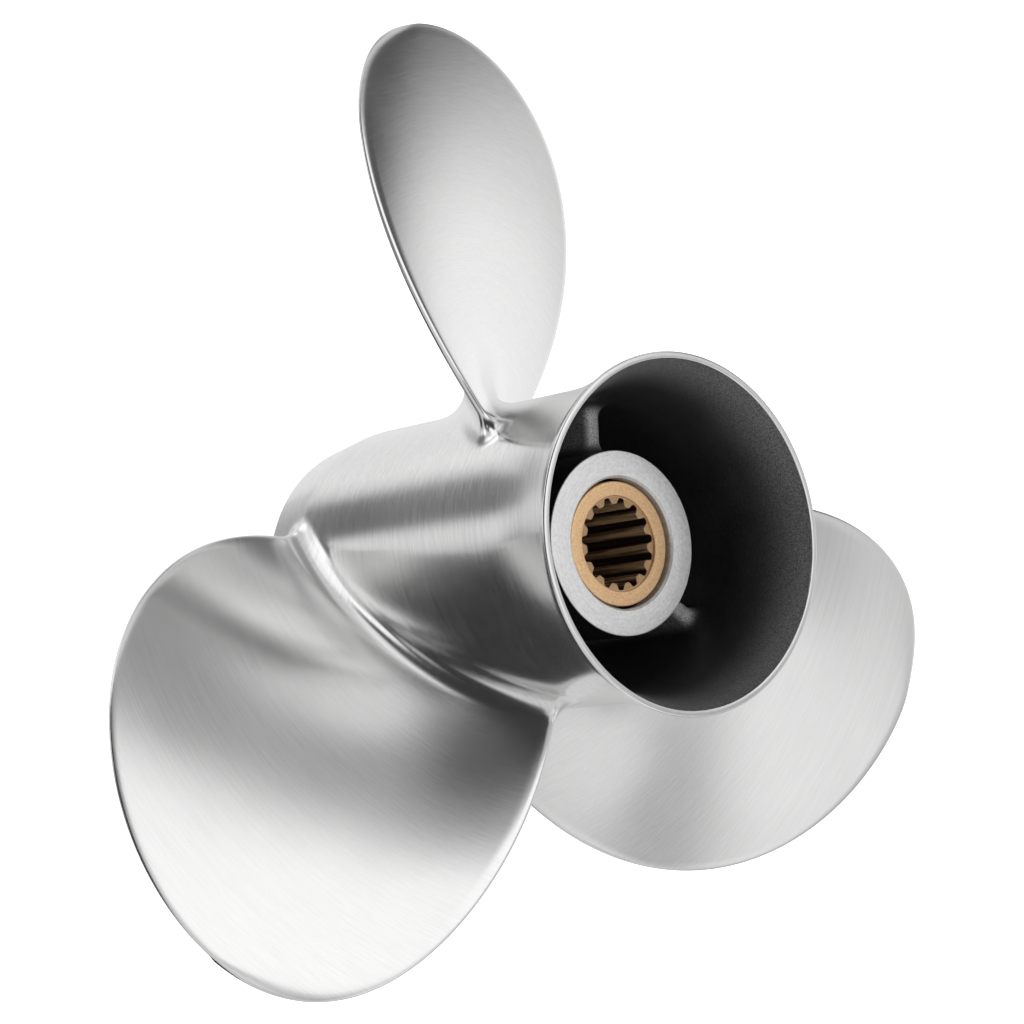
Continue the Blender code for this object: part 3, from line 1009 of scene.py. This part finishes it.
def add_camera():
    """The camera at the photograph's viewing angle, turned about its own axis by the roll."""
    away = direction(CAMERA_AZIMUTH, CAMERA_ELEVATION)
    upright = (-away).to_track_quat("-Z", "Y").to_matrix()
    turn = Matrix.Rotation(math.radians(CAMERA_ROLL), 3, "Z")
    data = bpy.data.cameras.new("camera")
    data.lens = LENS
    data.sensor_width = SENSOR_WIDTH
    camera = bpy.data.objects.new("camera", data)
    placed = (upright @ turn).to_4x4()
    placed.translation = CAMERA_TARGET + CAMERA_DISTANCE * away
    camera.matrix_world = placed
    bpy.context.scene.collection.objects.link(camera)
    bpy.context.scene.camera = camera


def add_floor():
    """A plain pale floor under the nose. The steel doesn't mirror it, only the panels."""
    mesh = bpy.data.meshes.new("floor")
    corners = ((-1, -1), (1, -1), (1, 1), (-1, 1))
    points = [(x * FLOOR_REACH, y * FLOOR_REACH, FORWARD_Z) for x, y in corners]
    mesh.from_pydata(points, [], [(0, 1, 2, 3)])
    floor = bpy.data.objects.new("floor", mesh)
    bpy.context.scene.collection.objects.link(floor)
    paint = bpy.data.materials.new("pale_floor")
    paint.use_nodes = True
    shader = paint.node_tree.nodes["Principled BSDF"]
    shader.inputs["Base Color"].default_value = (*FLOOR_TONE, 1.0)
    shader.inputs["Roughness"].default_value = 1.0
    shader.inputs["Emission Color"].default_value = (*WHITE, 1.0)
    shader.inputs["Emission Strength"].default_value = FLOOR_GLOW
    mesh.materials.append(paint)
    floor.visible_glossy = False


def add_light():
    """Plain soft studio light: broad panels all round the propeller, on a pale surround.

    The camera itself sees plain white behind the propeller.
    """
    world = bpy.data.worlds.new("studio")
    world.use_nodes = True
    sky = Nodes(world.node_tree)
    sky.tree.nodes.clear()
    towards = sky.node("ShaderNodeTexCoord").outputs["Generated"]
    light = SURROUND
    for azimuth, elevation, inner, outer, brightness in PANELS:
        cosine = sky.vector("DOT_PRODUCT", towards, tuple(direction(azimuth, elevation)))
        angle = sky.math("ARCCOSINE", cosine)
        share = sky.spread(angle, math.radians(inner), math.radians(outer), 1.0, 0.0)
        light = sky.mix_value(share, light, brightness)
    panels = sky.node("ShaderNodeBackground")
    sky.link_all(((PANEL_GLOW,) * 3, light), panels.inputs)
    backdrop = sky.node("ShaderNodeBackground")
    sky.link_all((WHITE, 1.0), backdrop.inputs)
    seen = sky.node("ShaderNodeLightPath").outputs["Is Camera Ray"]
    both = sky.node("ShaderNodeMixShader")
    sky.link_all((seen, panels.outputs[0], backdrop.outputs[0]), both.inputs)
    sky.link(both.outputs[0], sky.node("ShaderNodeOutputWorld").inputs["Surface"])
    # The panels are broad and soft, so rays from the surfaces find them without a map of the world's
    # light, which would slow the render
    world.cycles.sampling_method = "NONE"
    bpy.context.scene.world = world


steel = brushed_steel()
black = cast_black()
machined = machined_steel()
shell = casting(steel, black, machined)
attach(shell, "root")
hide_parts("propeller_casting")
ring = sleeve(face_brass(), bore_brass())
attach(ring, "root")
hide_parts("spline_sleeve")
soft = bush(rubber())
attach(soft, "root")
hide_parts("rubber_bush")
add_camera()
add_floor()
add_light()
bpy.context.scene.view_settings.view_transform = "Standard"
